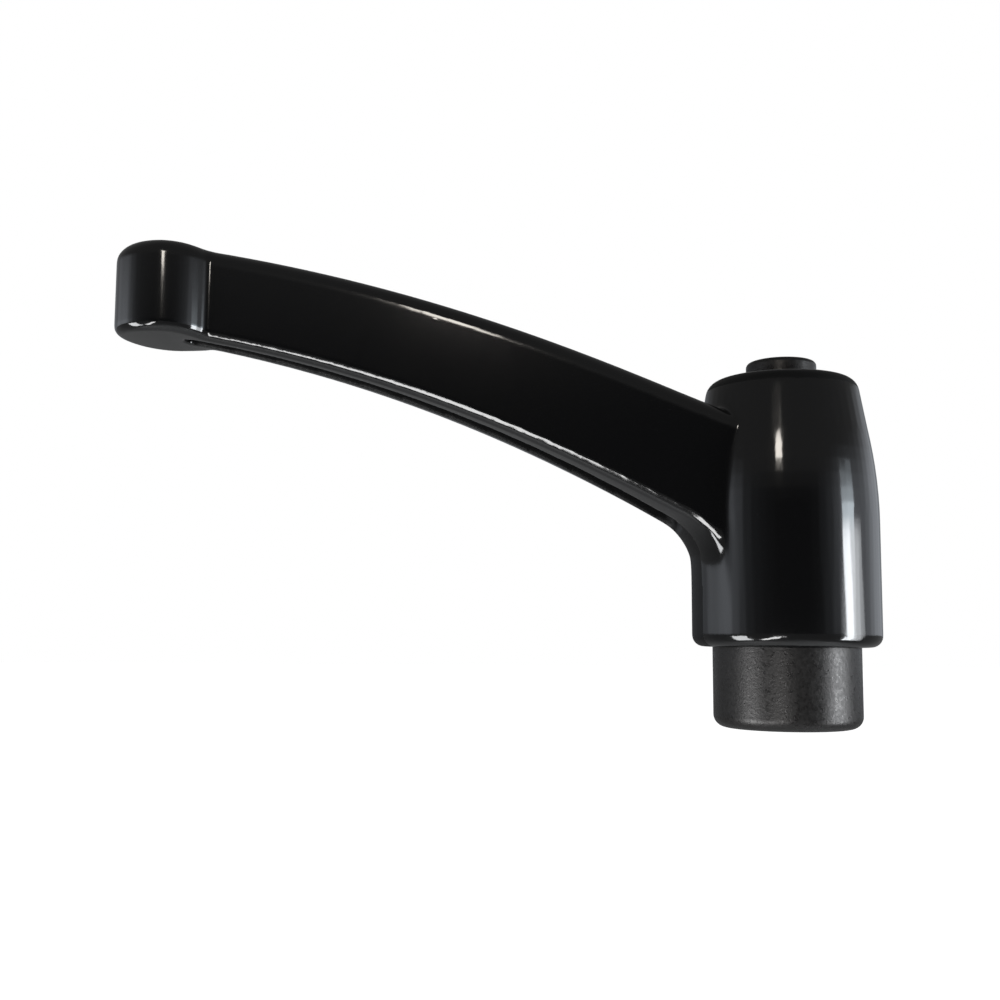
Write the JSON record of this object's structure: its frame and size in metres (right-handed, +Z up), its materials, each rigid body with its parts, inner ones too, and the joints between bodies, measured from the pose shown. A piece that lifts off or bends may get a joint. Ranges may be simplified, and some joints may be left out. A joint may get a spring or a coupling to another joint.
{
  "type": "adjustable clamping lever",
  "caption": "Clamping lever with a cylindrical hub, a curved arm ending in a round grip knob and a threaded insert; lifting it against its spring lets it be turned to a new position.",
  "frame": {"origin": "centre of the threaded insert's lower end face, on the hub axis", "axes": "+Z up the hub axis from the insert to the screw head, -X along the lever arm towards the grip knob, Y across the arm"},
  "size_m": [0.0961, 0.023, 0.0599],
  "materials": {
    "powder_coat": "gloss black powder coat on a zinc die casting",
    "blackened_steel": "satin black oxide on turned steel",
    "blackened_screw_steel": "black oxide on a machine screw",
    "spring_steel": "drawn spring wire, lightly oiled"
  },
  "bodies": {
    "insert": {"threaded_insert": "blackened_steel", "retaining_screw": "blackened_screw_steel"},
    "spring": {"return_spring": "spring_steel"},
    "lever": {"lever_handle": "powder_coat"}
  },
  "joints": [
    {"name": "lever_index", "type": "hinge", "parent": "insert", "child": "spring", "pos_m": [0, 0, 0.0295], "axis": [0, 0, 1], "continuous": true},
    {"name": "lever_lift", "type": "slide", "parent": "spring", "child": "lever", "axis": [0, 0, 1], "range_m": [0, 0.005], "stiffness_N_per_m": 1740, "springref_m": -0.0025, "deforming": ["return_spring"]}
  ]
}
